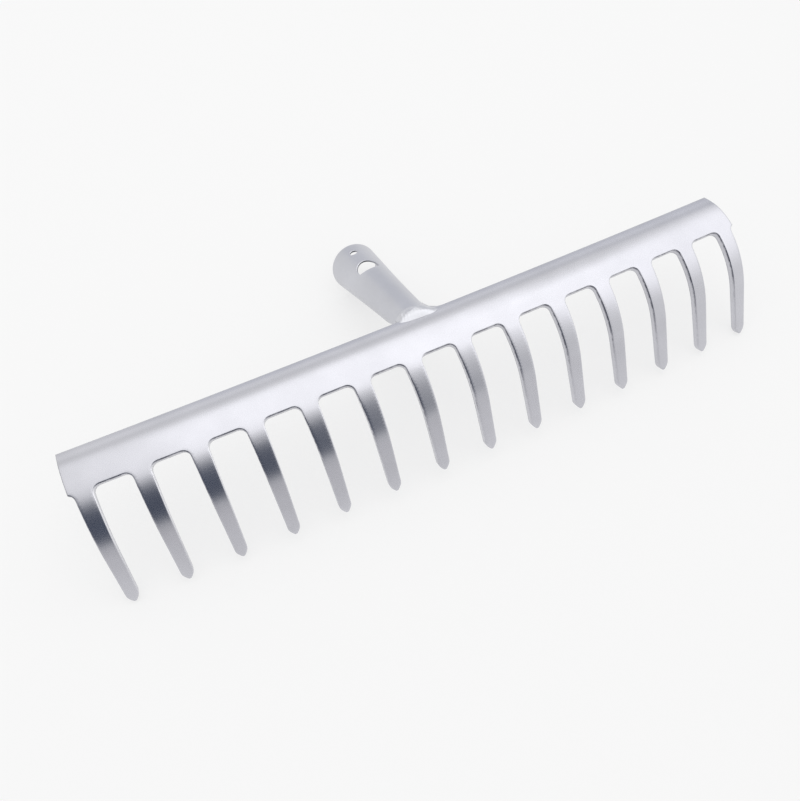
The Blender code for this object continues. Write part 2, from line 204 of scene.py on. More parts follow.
def inside(points, loops):
    """Which points lie in the sheet: inside the outline and outside the holes."""
    result = np.zeros(len(points), bool)
    for a in loops:
        b = np.roll(a, -1, axis=0)
        rise = b[:, 1] - a[:, 1]
        rise = np.where(rise == 0.0, LEAST_RISE, rise)
        run = (b[:, 0] - a[:, 0]) / rise
        for first in range(0, len(points), TESTED_AT_ONCE):
            p = points[first:first + TESTED_AT_ONCE]
            above_a = a[None, :, 1] > p[:, None, 1]
            above_b = b[None, :, 1] > p[:, None, 1]
            x = a[None, :, 0] + (p[:, None, 1] - a[None, :, 1]) * run[None, :]
            hits = (above_a != above_b) & (p[:, None, 0] < x)
            result[first:first + TESTED_AT_ONCE] ^= hits.sum(axis=1) % 2 == 1
    return result


def row_shift(row):
    """Where a row of a grid starts, in columns: every other row is half a column further along."""
    return 0.25 + 0.5 * (row % 2)


def pattern_points(loops, grid, rounding):
    """Points on the outline, in rings beside it and inside, with how far each lies from the edge and
    the way in from the cut beside it."""
    outline = np.concatenate(loops)
    tree = tree_of(outline)
    offsets = np.concatenate([left_offsets(loop) for loop in loops])
    points = [outline]
    depths = [np.zeros(len(outline))]
    inwards = [offsets]
    for share in RING_SHARES:
        reach = rounding * share
        ring = outline + offsets * reach
        clear = far_enough(ring, tree, RING_ROOM * reach)
        points.append(ring[clear])
        depths.append(np.full(int(clear.sum()), reach))
        inwards.append(offsets[clear])
    kept = grid[far_enough(grid, tree, rounding + GRID_ROOM * ROW_STEP)]
    kept = kept[inside(kept, loops)]
    points.append(kept)
    depths.append(np.full(len(kept), rounding))
    inwards.append(np.zeros((len(kept), 2)))
    return np.concatenate(points), np.concatenate(depths), np.concatenate(inwards)


def pattern_triangles(points, loops):
    """Triangles between the points of a pattern, all facing the same way."""
    edges = []
    first = 0
    for loop in loops:
        count = len(loop)
        edges += [(first + i, first + (i + 1) % count) for i in range(count)]
        first += count
    corners = [Vector((p[0] / MM, p[1] / MM)) for p in points]
    made = geometry.delaunay_2d_cdt(corners, edges, [], 0, MERGE_DISTANCE)
    vertices = np.array([v[:] for v in made[0]]) * MM
    origin = np.array([ids[0] if ids else -1 for ids in made[3]])
    triangles = np.array([face[:] for face in made[2]])
    triangles = origin[triangles[inside(vertices[triangles].mean(axis=1), loops)]]
    if (triangles < 0).any():
        raise ValueError("the pattern's outline crosses itself")
    a, b, c = (points[triangles[:, k]] for k in range(3))
    area = (b[:, 0] - a[:, 0]) * (c[:, 1] - a[:, 1]) - (b[:, 1] - a[:, 1]) * (c[:, 0] - a[:, 0])
    return np.where(area[:, None] > 0, triangles, triangles[:, ::-1])


def rounded(depths, radius):
    """How far the skin lies below the flat at each distance from the edge."""
    left = np.clip(radius - depths, 0.0, radius)
    return radius - np.sqrt(radius ** 2 - left ** 2)


def sheet_faces(triangles, count, sizes):
    """Faces of both sides of a sheet with count points each, and of the cut faces between them."""
    rim = sum(sizes)
    bands = [0] + [2 * count + rim * ring for ring in range(len(WALL_SHARES))] + [count]
    faces = [tuple(t) for t in triangles]
    faces += [(t[2] + count, t[1] + count, t[0] + count) for t in triangles]
    for upper, lower in zip(bands[:-1], bands[1:]):
        first = 0
        for size in sizes:
            for step in range(size):
                i = first + step
                j = first + (step + 1) % size
                faces.append((upper + i, lower + i, lower + j, upper + j))
            first += size
    return faces


def wrapped_sheet(name, loops, grid, surface, thickness, rounding, wear, relief=None):
    """Wraps a pattern on to a surface as a closed sheet with rounded edges, and stores the wear and
    painted shade of its cuts, their painted highlights and the painted shading along a pressed line.
    """
    loops = [loop if (loop_area(loop) > 0) == (index == 0) else loop[::-1]
             for index, loop in enumerate(loops)]
    points, depths, inwards = pattern_points(loops, grid, rounding)
    triangles = pattern_triangles(points, loops)
    outer = rounded(depths, rounding)
    if relief is not None:
        outer = outer + relief(points[:, 0], points[:, 1])
    inner = thickness - rounded(depths, BURR_ROUND)
    sizes = [len(loop) for loop in loops]
    rim = sum(sizes)
    layers = [place(surface, points, outer), place(surface, points, inner)]
    for share in WALL_SHARES:
        depth = outer[:rim] + (inner[:rim] - outer[:rim]) * share
        layers.append(place(surface, points[:rim], depth))
    piece = mesh_piece(name, np.concatenate(layers), sheet_faces(triangles, len(points), sizes))
    near = np.clip(1.0 + ARRIS_FULL - depths / (ARRIS_WIDTH * rounding), 0.0, 1.0)
    # worn zinc and painted shade, on the cuts that face left, front or back
    edge_wear_and_shade = near * np.clip(1.0 + FACING_TURN * inwards[:, 0], 0.0, 1.0)
    # painted highlight on the cuts that face right
    painted_edge_highlight = near * np.clip(-HIGHLIGHT_FROM - FACING_TURN * inwards[:, 0], 0.0, 1.0)
    # wear returns the cuts' wear with painted shade, their painted highlight and the painted crease
    # shading
    edge_wear_and_shade, painted_edge_highlight, painted_crease_shading = wear(points[:, 0], points[:, 1], near, edge_wear_and_shade, painted_edge_highlight)
    # the edge attribute holds the worn zinc and painted shade of the cuts
    store(piece, "edge", edge_wear_and_shade, INNER_WEAR_AND_SHADE, WALL_WEAR_AND_SHADE, rim)
    store(piece, "painted_edge_highlight", painted_edge_highlight, 0.0, WALL_HIGHLIGHT, rim)
    store(piece, "painted_crease_shading", painted_crease_shading, 0.0, WALL_CREASE_SHADING, rim)
    return piece


def store(piece, label, values, inner_share, wall_shares, rim):
    """Stores values of the outer side on a sheet, with shares of them for its other points."""
    walls = [values[:rim] * share for share in wall_shares]
    spread = np.concatenate([values, inner_share * values] + walls).astype(np.float32)
    piece.data.attributes.new(label, "FLOAT", "POINT").data.foreach_set("value", spread)


def place(surface, points, depth):
    """Points of a surface, sunk below it by a depth; a surface's outer side is where u turns to v."""
    u, v = points[:, 0], points[:, 1]
    here = surface(u, v)
    along_u = surface(u + SLOPE_STEP, v) - surface(u - SLOPE_STEP, v)
    along_v = surface(u, v + SLOPE_STEP) - surface(u, v - SLOPE_STEP)
    normal = np.cross(along_u, along_v)
    normal /= np.linalg.norm(normal, axis=1)[:, None]
    return here - normal * np.asarray(depth)[:, None]


def mesh_piece(name, vertices, faces):
    """Makes a smooth-shaded mesh object and lays it down."""
    mesh = bpy.data.meshes.new(name)
    mesh.from_pydata([tuple(v) for v in vertices], [], [tuple(int(i) for i in f) for f in faces])
    mesh.validate()
    mesh.transform(lying_turn())
    piece = bpy.data.objects.new(name, mesh)
    bpy.context.scene.collection.objects.link(piece)
    bpy.context.view_layer.update()
    fix_facing(mesh)
    mesh.shade_smooth()
    return piece


def fix_facing(mesh):
    """Turns the faces outwards if the mesh's volume comes out negative."""
    corners = np.empty(len(mesh.vertices) * 3)
    mesh.vertices.foreach_get("co", corners)
    corners = corners.reshape(-1, 3)
    mesh.calc_loop_triangles()
    tris = np.empty(len(mesh.loop_triangles) * 3, int)
    mesh.loop_triangles.foreach_get("vertices", tris)
    a, b, c = (corners[tris.reshape(-1, 3)[:, k]] for k in range(3))
    if np.sum(a * np.cross(b, c)) < 0:
        mesh.flip_normals()


# The comb

def bend_stations():
    """Arc lengths where the comb's bend changes, and the slopes there."""
    slot_slope = REAR_SLOPE + REAR_LENGTH / REAR_RADIUS
    bend_end = TINE_RADIUS * (math.pi / 2 - slot_slope)
    return (-REAR_LENGTH, 0.0, bend_end), (REAR_SLOPE, slot_slope, math.pi / 2)


def bend_table():
    """Arc lengths and the outer face's Y and Z there, with the slot line at the origin."""
    places, slopes = bend_stations()
    window = np.linspace(-EASE / 2, EASE / 2, EASE_SAMPLES)
    lengths = np.linspace(-REAR_LENGTH - PROFILE_MARGIN, TINE_LENGTH + PROFILE_MARGIN, PROFILE_SAMPLES)
    slope = np.interp(lengths[:, None] + window[None, :], places, slopes).mean(axis=1)
    step = lengths[1] - lengths[0]
    dy = -np.cos(slope) * step
    dz = -np.sin(slope) * step
    y = np.concatenate([[0.0], np.cumsum((dy[1:] + dy[:-1]) / 2)])
    z = np.concatenate([[0.0], np.cumsum((dz[1:] + dz[:-1]) / 2)])
    return lengths, y - np.interp(0.0, lengths, y), z - np.interp(0.0, lengths, z)


BEND = bend_table()


def comb_surface(x, v):
    """Outer face of the comb at x along it; v is the arc length from the slot line to the rear."""
    s = -v
    share = (x / (PITCH * (TINE_COUNT - 1) / 2)) ** 2
    y = np.interp(s, BEND[0], BEND[1]) + BOW_BACK * share
    z = np.interp(s, BEND[0], BEND[2]) - BOW_DOWN * share
    return np.stack([x, y, z], axis=-1)


def tine_middle(index):
    """X of the middle of a tine."""
    return (index - (TINE_COUNT - 1) / 2) * PITCH


def half_width(s):
    """Half the width of a tine at arc length s, without its root's corners."""
    s = np.asarray(s, float)
    straight = (TINE_ROOT_WIDTH - TINE_TAPER * s) / 2
    blunt = TIP_WIDTH / 2
    share = np.clip((TINE_LENGTH - s) / TIP_LENGTH, 0.0, 1.0)
    return blunt + (straight - blunt) * np.sin(share * math.pi / 2) ** TIP_FULLNESS


def comb_end():
    """X of the comb's end."""
    return tine_middle(TINE_COUNT - 1) + float(half_width(0.0)) + END_OVERHANG


def tine_side(index, side):
    """Points down one side of a tine, from the root's corner to the tip."""
    outermost = (index == 0 and side < 0) or (index == TINE_COUNT - 1 and side > 0)
    cut = math.asin(1.0 - END_OVERHANG / SLOT_CORNER) if outermost else 0.0
    angles = np.linspace(cut, math.pi / 2, FILLET_STEPS + 1)
    corner_s = SLOT_CORNER * (1.0 - np.cos(angles))
    corner_x = half_width(corner_s) + SLOT_CORNER * (1.0 - np.sin(angles))
    tip_start = TINE_LENGTH - TIP_LENGTH
    count = int(math.ceil((tip_start - SLOT_CORNER) / OUTLINE_STEP))
    side_s = np.linspace(SLOT_CORNER, tip_start, count + 1)[1:]
    tip_s = tip_start + TIP_LENGTH * np.sin(np.linspace(0.0, math.pi / 2, TIP_STEPS + 1))[1:]
    s = np.concatenate([corner_s, side_s, tip_s])
    x = np.concatenate([corner_x, half_width(side_s), half_width(tip_s)])
    return np.stack([tine_middle(index) + side * x, s], axis=1)


def comb_outline():
    """The comb's flat outline as one loop."""
    end = comb_end()
    rear_left = (-end, -REAR_LENGTH)
    rear_right = (end, -REAR_LENGTH)
    parts = [spaced(rear_left, rear_right, REAR_STEP)]
    last = np.array(rear_right)
    for index in reversed(range(TINE_COUNT)):
        right = tine_side(index, 1.0)
        left = tine_side(index, -1.0)[::-1]
        parts += [spaced(last, right[0], OUTLINE_STEP), right, left[:-1]]
        last = left[-1]
    parts.append(spaced(last, rear_left, OUTLINE_STEP))
    return np.concatenate(parts)


def comb_grid():
    """Points inside the comb's flat pattern."""
    rows = []
    end = comb_end()
    count = int((TINE_LENGTH + REAR_LENGTH) / ROW_STEP)
    for row in range(1, count):
        s = -REAR_LENGTH + row * ROW_STEP
        if s < 0.0:
            columns = int(2 * end / STRIP_COLUMN)
            xs = -end + (np.arange(columns) + row_shift(row)) * STRIP_COLUMN
        else:
            shares = (np.arange(TINE_COLUMNS) + row_shift(row)) / TINE_COLUMNS * 2.0 - 1.0
            wide = float(half_width(s)) + max(SLOT_CORNER - s, 0.0)
            xs = np.concatenate([tine_middle(i) + shares * wide for i in range(TINE_COUNT)])
        rows.append(np.stack([xs, np.full(len(xs), s)], axis=1))
    return np.concatenate(rows)


def groove(x, v):
    """Depth of the faint line that the press leaves along the rear of the comb."""
    wander = sum(far * np.sin(x / length) for far, length in GROOVE_WANDERS)
    return GROOVE_DEPTH * np.exp(-((v - GROOVE_PLACE - wander) / GROOVE_WIDTH) ** 2)


def comb_wear_and_painted_light(x, v, near, edge_wear_and_shade, painted_edge_highlight):
    """Worn cuts with painted shade and painted highlights that fade towards the tips, fully darkened
    ends, and painted highlight and shade along the pressed line.
    """
    fade = 1.0 - TIPS_LOSE * np.clip((-v - TIPS_LOSE_FROM) / TIPS_LOSE_OVER, 0.0, 1.0)
    at_end = np.abs(x) > comb_end() - ENDS_DARKENED
    painted_crease_shading = sum(tone * np.exp(-((v - middle) / width) ** 2) for middle, width, tone in CREASE_SHADING_BANDS)
    return np.where(at_end, near, edge_wear_and_shade * fade), painted_edge_highlight * fade * ~at_end, painted_crease_shading


def make_comb():
    """The pressed sheet with its tines."""
    flip = np.array([1.0, -1.0])
    comb = wrapped_sheet("comb_sheet", [comb_outline() * flip], comb_grid() * flip, comb_surface, SHEET,
                         SHEAR_ROUND, comb_wear_and_painted_light, relief=groove)
    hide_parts("comb")
    return comb


# The socket

def rear_lean():
    """How far the lower edge of the comb's rear face stands behind its upper edge."""
    ends = comb_surface(np.zeros(2), np.array([REAR_LENGTH, REAR_LENGTH - LEAN_STEP]))
    ahead = ends[1] - ends[0]
    return -SHEET * ahead[2] / np.linalg.norm(ahead)


def socket_axis():
    """Start of the socket's axis, its direction, and the direction square to it that points up."""
    along = np.array([0.0, math.cos(SOCKET_RISE), math.sin(SOCKET_RISE)])
    up = np.array([0.0, -math.sin(SOCKET_RISE), math.cos(SOCKET_RISE)])
    edge = comb_surface(np.zeros(1), np.array([REAR_LENGTH]))[0]
    return edge - up * SOCKET_DROP + along * (JOINT_GAP + rear_lean()), along, up


def lying_turn():
    """The move from the bench frame to the frame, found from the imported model's mount on the rim."""
    rim = frame["record"]["mounts"][0]
    tilt = math.atan2(-rim["axis"][2], rim["axis"][1]) + SOCKET_RISE
    turn = Matrix.Rotation(-tilt, 4, "X")
    start, along, up = socket_axis()
    bench = Vector(start + along * SOCKET_LENGTH + up * (SOCKET_MOUTH_RADIUS - SOCKET_WALL / 2))
    return Matrix.Translation(Vector(rim["pos_m"]) - turn @ bench) @ turn


def tube_radius(t):
    """Outer radius of the socket at a distance from its neck end."""
    return SOCKET_NECK_RADIUS + (SOCKET_MOUTH_RADIUS - SOCKET_NECK_RADIUS) * t / SOCKET_LENGTH


def tube_width(t):
    """Half the width of the socket's outside, more than the radius where the neck is pressed."""
    return tube_radius(t) + NECK_SPREAD * np.clip(1.0 - t / SPREAD_LENGTH, 0.0, 1.0) ** 2


def tube_depth(t):
    """Depth of the socket's outside below its axis, less than the radius where the neck is pressed."""
    share = np.clip(t / NECK_LENGTH, 0.0, 1.0)
    return NECK_DEPTH + (tube_radius(t) - NECK_DEPTH) * eased(share)


def socket_surface(u, t):
    """Skin of the socket; u is the way round it from the top, at its middle radius."""
    angle = u / MIDDLE_RADIUS
    tall = np.where(np.cos(angle) > 0, tube_radius(t), tube_depth(t))
    start, along, up = socket_axis()
    side = np.array([1.0, 0.0, 0.0])
    return (start + t[..., None] * along + (np.sin(angle) * tube_width(t))[..., None] * side
            + (np.cos(angle) * tall)[..., None] * up)


def hole_loop(outline, distance):
    """Carries an outline, drawn flat over the socket, round its skin."""
    loop = []
    for across, ahead in outline:
        t = distance + ahead
        angle = HOLE_TURN + math.asin(across / tube_radius(t))
        loop.append((angle * MIDDLE_RADIUS, t))
    return np.array(loop)


def nail_hole():
    """Outline of the round hole."""
    angles = np.linspace(0.0, 2.0 * math.pi, NAIL_HOLE_POINTS, endpoint=False)
    return [(NAIL_HOLE_RADIUS * math.cos(a), NAIL_HOLE_RADIUS * math.sin(a)) for a in angles]


def dee_hole():
    """Outline of the D-shaped hole."""
    half = DEE_HOLE_WIDTH / 2
    straight = DEE_HOLE_LENGTH - half
    turns = np.linspace(math.pi, 0.0, DEE_ARC_POINTS)
    arc = [(half * math.cos(a), straight + half * math.sin(a)) for a in turns]
    down = [tuple(p) for p in spaced((half, straight), (half, 0.0), DEE_SIDE_STEP)[1:]]
    xs = np.linspace(half, -half, DEE_BASE_POINTS)
    base = [(x, -DEE_HOLE_BELLY * (1.0 - (x / half) ** 2)) for x in xs]
    rise = [tuple(p) for p in spaced((-half, 0.0), (-half, straight), DEE_SIDE_STEP)[1:]]
    return arc + down + base + rise


def socket_wear_and_painted_light(x, _v, _near, edge_wear_and_shade, painted_edge_highlight):
    """Faint wear and painted shade of the cuts and a faint painted highlight, the same all over the
    tube, and no painted shading along a pressed line.
    """
    return TUBE_WEAR_AND_SHADE * edge_wear_and_shade, TUBE_HIGHLIGHT * painted_edge_highlight, np.zeros(len(x))


def make_socket():
    """The tube, bent round from a flat blank, with its holes and open seam."""
    half = math.pi * MIDDLE_RADIUS - SEAM_GAP / 2
    corners = [(-half, 0.0), (half, 0.0), (half, SOCKET_LENGTH), (-half, SOCKET_LENGTH)]
    sides = zip(corners, corners[1:] + corners[:1])
    blank = np.concatenate([spaced(a, b, OUTLINE_STEP) for a, b in sides])
    columns = int(2 * half / ROW_STEP)
    rows = []
    for row in range(1, int(SOCKET_LENGTH / ROW_STEP)):
        us = -half + (np.arange(columns) + row_shift(row)) * ROW_STEP
        rows.append(np.stack([us, np.full(columns, row * ROW_STEP)], axis=1))
    loops = [blank, hole_loop(nail_hole(), NAIL_HOLE_PLACE), hole_loop(dee_hole(), DEE_HOLE_PLACE)]
    socket = wrapped_sheet("socket_tube", loops, np.concatenate(rows), socket_surface, SOCKET_WALL,
                           TUBE_ROUND, socket_wear_and_painted_light)
    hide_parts("socket")
    return socket


# The weld beads

# The upper bead, from its left end to its right: where along it, x of its toe, how far the toe lies
# in front of the rear edge, and its upper side's turn round the socket and distance from the neck
# end, in millimetres and degrees
TOP_STATIONS = (0.0, 0.14, 0.32, 0.48, 0.62, 0.76, 0.88, 1.0)
TOP_TOE_X = (-12.4, -8.8, -5.6, -0.7, 3.9, 7.6, 11.8, 16.9)
TOP_TOE_AHEAD = (0.3, 1.9, 3.1, 4.0, 4.1, 4.2, 3.0, 0.3)
TOP_HEAD_TURN = (-69.5, -47.4, -30.0, -8.1, 11.3, 27.0, 45.0, 60.0)
TOP_HEAD_PLACE = (5.4, 3.4, 3.2, 2.9, 1.9, 2.0, 5.3, 13.6)
STATION_WINDOW = 0.07        # values between the stations are averaged this far to either side
STATION_SAMPLES = 15
END_WINDOW = 12.0            # how fast that window opens from nothing at the two ends
BEAD_SUNK = 0.1 * MM         # the bead's edges lie this deep in the metal
BEAD_BURIED = 0.45 * MM      # and its lower side this far below its face
FILL_DEPTH = 2.1 * MM        # or this far, at the corners beside the socket
END_SHARE = 0.5              # share of the bead, at its two ends, that turns into those corners
TOE_STEEPNESS = 2.20         # of the bead's front, as a share of its mean rise
HEAD_STEEPNESS = 0.20        # of its upper end
HEAD_SAG = 0.42              # how much steeper it gets in front of that
KNEE = 0.07                  # how softly the one runs into the other
HEAD_CROWN = 0.65 * MM       # how far the bead stands up before it dips to the socket
CROWN_RISE = 3               # powers that shape this crown
CROWN_DIP = 11
TOE_HANDLE = 0.40            # less of these fills the corners beside the socket more
HEAD_HANDLE = 0.72
BEAD_COLUMNS = 200
BEAD_ROWS = 30

# Ripples of the solidified metal
RIPPLE_PITCH = 1.35 * MM
RIPPLE_HEIGHT = 0.03 * MM
RIPPLE_BOW = 0.9             # how far they bow along the bead, in ripples
RIPPLE_STRAY = 0.35          # and how far they stray from an even pitch
RIPPLE_STRAY_RATE = 7.0

# Lump where the upper bead was started, in shares of the bead's length and height
LUMP_HEIGHT = 0.30 * MM
LUMP_PLACE = 0.17
LUMP_LEAN = 0.12
LUMP_LENGTH = 0.035
LUMP_RISE = 0.72
LUMP_REACH = 0.2

# The lower bead
UNDER_BEAD_TOE = 2.4 * MM
UNDER_BEAD_HALF = 7.0 * MM
BEAD_LAP = 1.5 * MM          # how far it reaches over the socket
UNDER_END_REACH = 0.25       # its width at the ends, as a share of that at its middle
UNDER_BULGE = 0.9 * MM       # how far its face is drawn down
UNDER_BULGE_PLACE = 0.15     # and where: from the sheet's edge to the toe, as a share
UNDER_ENDS = 0.995           # the ends stop this near to where the bead would close


def smooth_values(u, places, values):
    """Values between the stations, eased by averaging over a short window."""
    window = np.linspace(-STATION_WINDOW, STATION_WINDOW, STATION_SAMPLES)
    opened = np.minimum(1.0, END_WINDOW * u * (1.0 - u))
    spread = np.clip(u[:, None] + window[None, :] * opened[:, None], 0.0, 1.0)
    return np.interp(spread, places, values).mean(axis=1)


def top_climb(w):
    """How far up the bead's face has come at w, a share of its way from toe to head."""
    upper = 1.0 - HEAD_STEEPNESS * (1.0 - w) - HEAD_SAG * (1.0 - w) ** 2
    climb = -KNEE * np.logaddexp(-TOE_STEEPNESS * w / KNEE, -upper / KNEE)
    return (climb - climb[:, :1]) / (climb[:, -1:] - climb[:, :1])


def top_face():
    """Points of the upper bead's face, in columns from the toe on the sheet to the head on the
    socket, with the shares along and up the bead and how far each column is in a corner."""
    u = np.linspace(0.0, 1.0, BEAD_COLUMNS)
    toe_x, ahead, turn, distance = (smooth_values(u, TOP_STATIONS, values) for values in (
        TOP_TOE_X, TOP_TOE_AHEAD, TOP_HEAD_TURN, TOP_HEAD_PLACE))
    sunk = np.full(len(u), BEAD_SUNK)
    toe = place(comb_surface, np.stack([toe_x * MM, REAR_LENGTH - ahead * MM], axis=1), sunk)
    head_flat = np.stack([np.radians(turn) * MIDDLE_RADIUS, distance * MM], axis=1)
    head = place(socket_surface, head_flat, sunk)
    span = np.linalg.norm(head - toe, axis=1)[:, None]
    end = eased(np.clip((np.abs(2.0 * u - 1.0) - (1.0 - END_SHARE)) / END_SHARE, 0.0, 1.0))
    inwards = np.where(u < 0.5, 1.0, -1.0)[:, None] * np.array([[1.0, 0.0, 0.0]])
    onwards = np.array([[0.0, 1.0, 0.0]])
    w = np.linspace(0.0, 1.0, BEAD_ROWS)[None, :, None]
    p0, p3 = toe[:, None, :], head[:, None, :]
    p1 = p0 + (inwards * span * TOE_HANDLE)[:, None, :]
    p2 = p3 - (onwards * span * HEAD_HANDLE)[:, None, :]
    corner = (1 - w) ** 3 * p0 + 3 * w * (1 - w) ** 2 * p1 + 3 * w ** 2 * (1 - w) * p2 + w ** 3 * p3
    level = np.array([1.0, 1.0, 0.0])
    crown = HEAD_CROWN * (w ** CROWN_RISE - w ** CROWN_DIP)
    face = p0 + (p3 - p0) * (w * level + top_climb(w) * (1.0 - level)) + crown * (1.0 - level)
    face = face + (corner - face) * end[:, None, None]
    return u, w[0, :, 0], face, end


def relieved(u, w, face, end):
    """Adds the solidified ripples and a lump where the bead was started."""
    along_u = np.gradient(face, axis=0)
    along_w = np.gradient(face, axis=1)
    normal = np.cross(along_u, along_w)
    normal /= np.linalg.norm(normal, axis=2)[:, :, None]
    length = np.linalg.norm(along_u, axis=2).mean(axis=1).cumsum()[:, None]
    inside_w = np.sin(math.pi * w)[None, :]
    stray = RIPPLE_STRAY * np.sin(RIPPLE_STRAY_RATE * u)[:, None]
    phase = length / RIPPLE_PITCH + RIPPLE_BOW * (2.0 * w[None, :] - 1.0) ** 2 + stray
    lift = RIPPLE_HEIGHT * inside_w * np.cos(2.0 * math.pi * phase) * (1.0 - end)[:, None]
    along_lump = (u[:, None] - LUMP_PLACE - LUMP_LEAN * w[None, :]) / LUMP_LENGTH
    up_lump = (w[None, :] - LUMP_RISE) / LUMP_REACH
    lump = LUMP_HEIGHT * np.exp(-along_lump ** 2 - up_lump ** 2) * inside_w
    return face + normal * (lift + lump)[:, :, None]


def make_top_bead():
    """The upper bead, which also fills the corners beside the socket."""
    u, w, face, end = top_face()
    face = relieved(u, w, face, end)
    deeper = (FILL_DEPTH - BEAD_BURIED) * end[:, None] * np.sin(math.pi * w)[None, :] ** 0.5
    under = face.copy()
    under[:, :, 2] -= BEAD_BURIED + deeper
    rings = [np.concatenate([over, below[::-1]]) for over, below in zip(face, under)]
    return lofted("weld_top_bead", rings, "weld_top")


def under_ring(x):
    """Points across the lower bead at x: over its face from toe to lap, then back inside."""
    start, along, _ = socket_axis()
    fade = math.sqrt(max(1.0 - (x / UNDER_BEAD_HALF) ** 2, 0.0))
    reach = UNDER_END_REACH + (1.0 - UNDER_END_REACH) * fade
    toe = place(comb_surface, np.array([[x, REAR_LENGTH - UNDER_BEAD_TOE * reach]]), [SHEET])[0]
    edge = place(comb_surface, np.array([[x, REAR_LENGTH]]), [SHEET])[0]
    lap_t = BEAD_LAP * reach
    wide = float(tube_width(lap_t))
    deep = float(tube_depth(lap_t)) * math.sqrt(max(1.0 - (x / wide) ** 2, 0.0))
    skin = start[2] + along[2] * lap_t - deep
    lap = np.array([x, edge[1] + lap_t + JOINT_GAP, min(skin, edge[2])])
    over_y = edge[1] - UNDER_BULGE_PLACE * (edge[1] - toe[1])
    over = np.array([x, over_y, lap[2] - UNDER_BULGE * fade])
    w = np.linspace(0.0, 1.0, BEAD_ROWS)[:, None]
    face = (1 - w) ** 2 * toe + 2 * w * (1 - w) * over + w ** 2 * lap
    phase = x / RIPPLE_PITCH + RIPPLE_BOW * (2.0 * w[:, 0] - 1.0) ** 2
    face[:, 2] -= np.sin(math.pi * w[:, 0]) * RIPPLE_HEIGHT * fade * np.cos(2.0 * math.pi * phase)
    inside_up = np.array([0.0, 0.0, BEAD_BURIED])
    return np.concatenate([face, [lap + inside_up, toe + inside_up]])


def make_under_bead():
    """The lower bead."""
    turns = np.linspace(-math.pi / 2, math.pi / 2, BEAD_COLUMNS)
    xs = UNDER_ENDS * UNDER_BEAD_HALF * np.sin(turns)
    return lofted("weld_under_bead", [under_ring(x) for x in xs], "weld_under")


def lofted(name, rings, replaced):
    """A closed piece through rings of points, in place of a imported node."""
    size = len(rings[0])
    faces = []
    for i in range(len(rings) - 1):
        for j in range(size):
            k = (j + 1) % size
            faces.append((i * size + j, i * size + k, (i + 1) * size + k, (i + 1) * size + j))
    faces.append(tuple(reversed(range(size))))
    faces.append(tuple((len(rings) - 1) * size + j for j in range(size)))
    bead = mesh_piece(name, np.concatenate(rings), faces)
    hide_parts(replaced)
    return bead


# Materials

# Colour, least and most roughness, and strength of the grain
COMB_FINISH = ((0.618, 0.618, 0.660), 0.23, 0.31, 0.22)
TUBE_FINISH = ((0.60, 0.605, 0.645), 0.28, 0.40, 0.35)
WELD_FINISH = ((0.64, 0.645, 0.68), 0.26, 0.42, 0.5)

CUT_EDGE_WEAR_AND_SHADE = (0.30, 0.30, 0.33, 1.0)    # darker cut edges: the zinc lies thinner there, and painted shade
EDGE_HIGHLIGHT_PAINT = (0.90, 0.90, 0.93, 1.0)   # painted highlight on the cuts that face right
CLOUD_TONES = (0.93, 1.03)   # the clouding's darkest and palest tone, as shares of the colour
CLOUD_NOISE = (0.3, 0.7)     # and the noise that these stand for
CREASE_SHADING_TONES = (0.93, 1.06)  # the same for the painted highlight and shade along the pressed line
WORN_NOISE = (0.42, 0.56)    # noise between which the cuts go from least to fully worn
LEAST_WORN = 0.35
GRAIN_DEPTH = 0.02 * MM


def node(tree, kind, place_x, place_y, **values):
    """Adds a shader node and sets its plain inputs by name."""
    made = tree.nodes.new(kind)
    made.location = (place_x, place_y)
    for key, value in values.items():
        made.inputs[key.replace("_", " ")].default_value = value
    return made


def stored(tree, place_x, place_y, label):
    """Adds a node that reads a value stored on the mesh, and returns its output."""
    made = node(tree, "ShaderNodeAttribute", place_x, place_y)
    made.attribute_name = label
    return made.outputs["Fac"]


def combined(tree, place_x, place_y, operation, first, second):
    """Adds a maths node on two outputs, or on an output and a number, and returns its output."""
    made = node(tree, "ShaderNodeMath", place_x, place_y)
    made.operation = operation
    tree.links.new(first, made.inputs[0])
    if isinstance(second, float):
        made.inputs[1].default_value = second
    else:
        tree.links.new(second, made.inputs[1])
    return made.outputs[0]


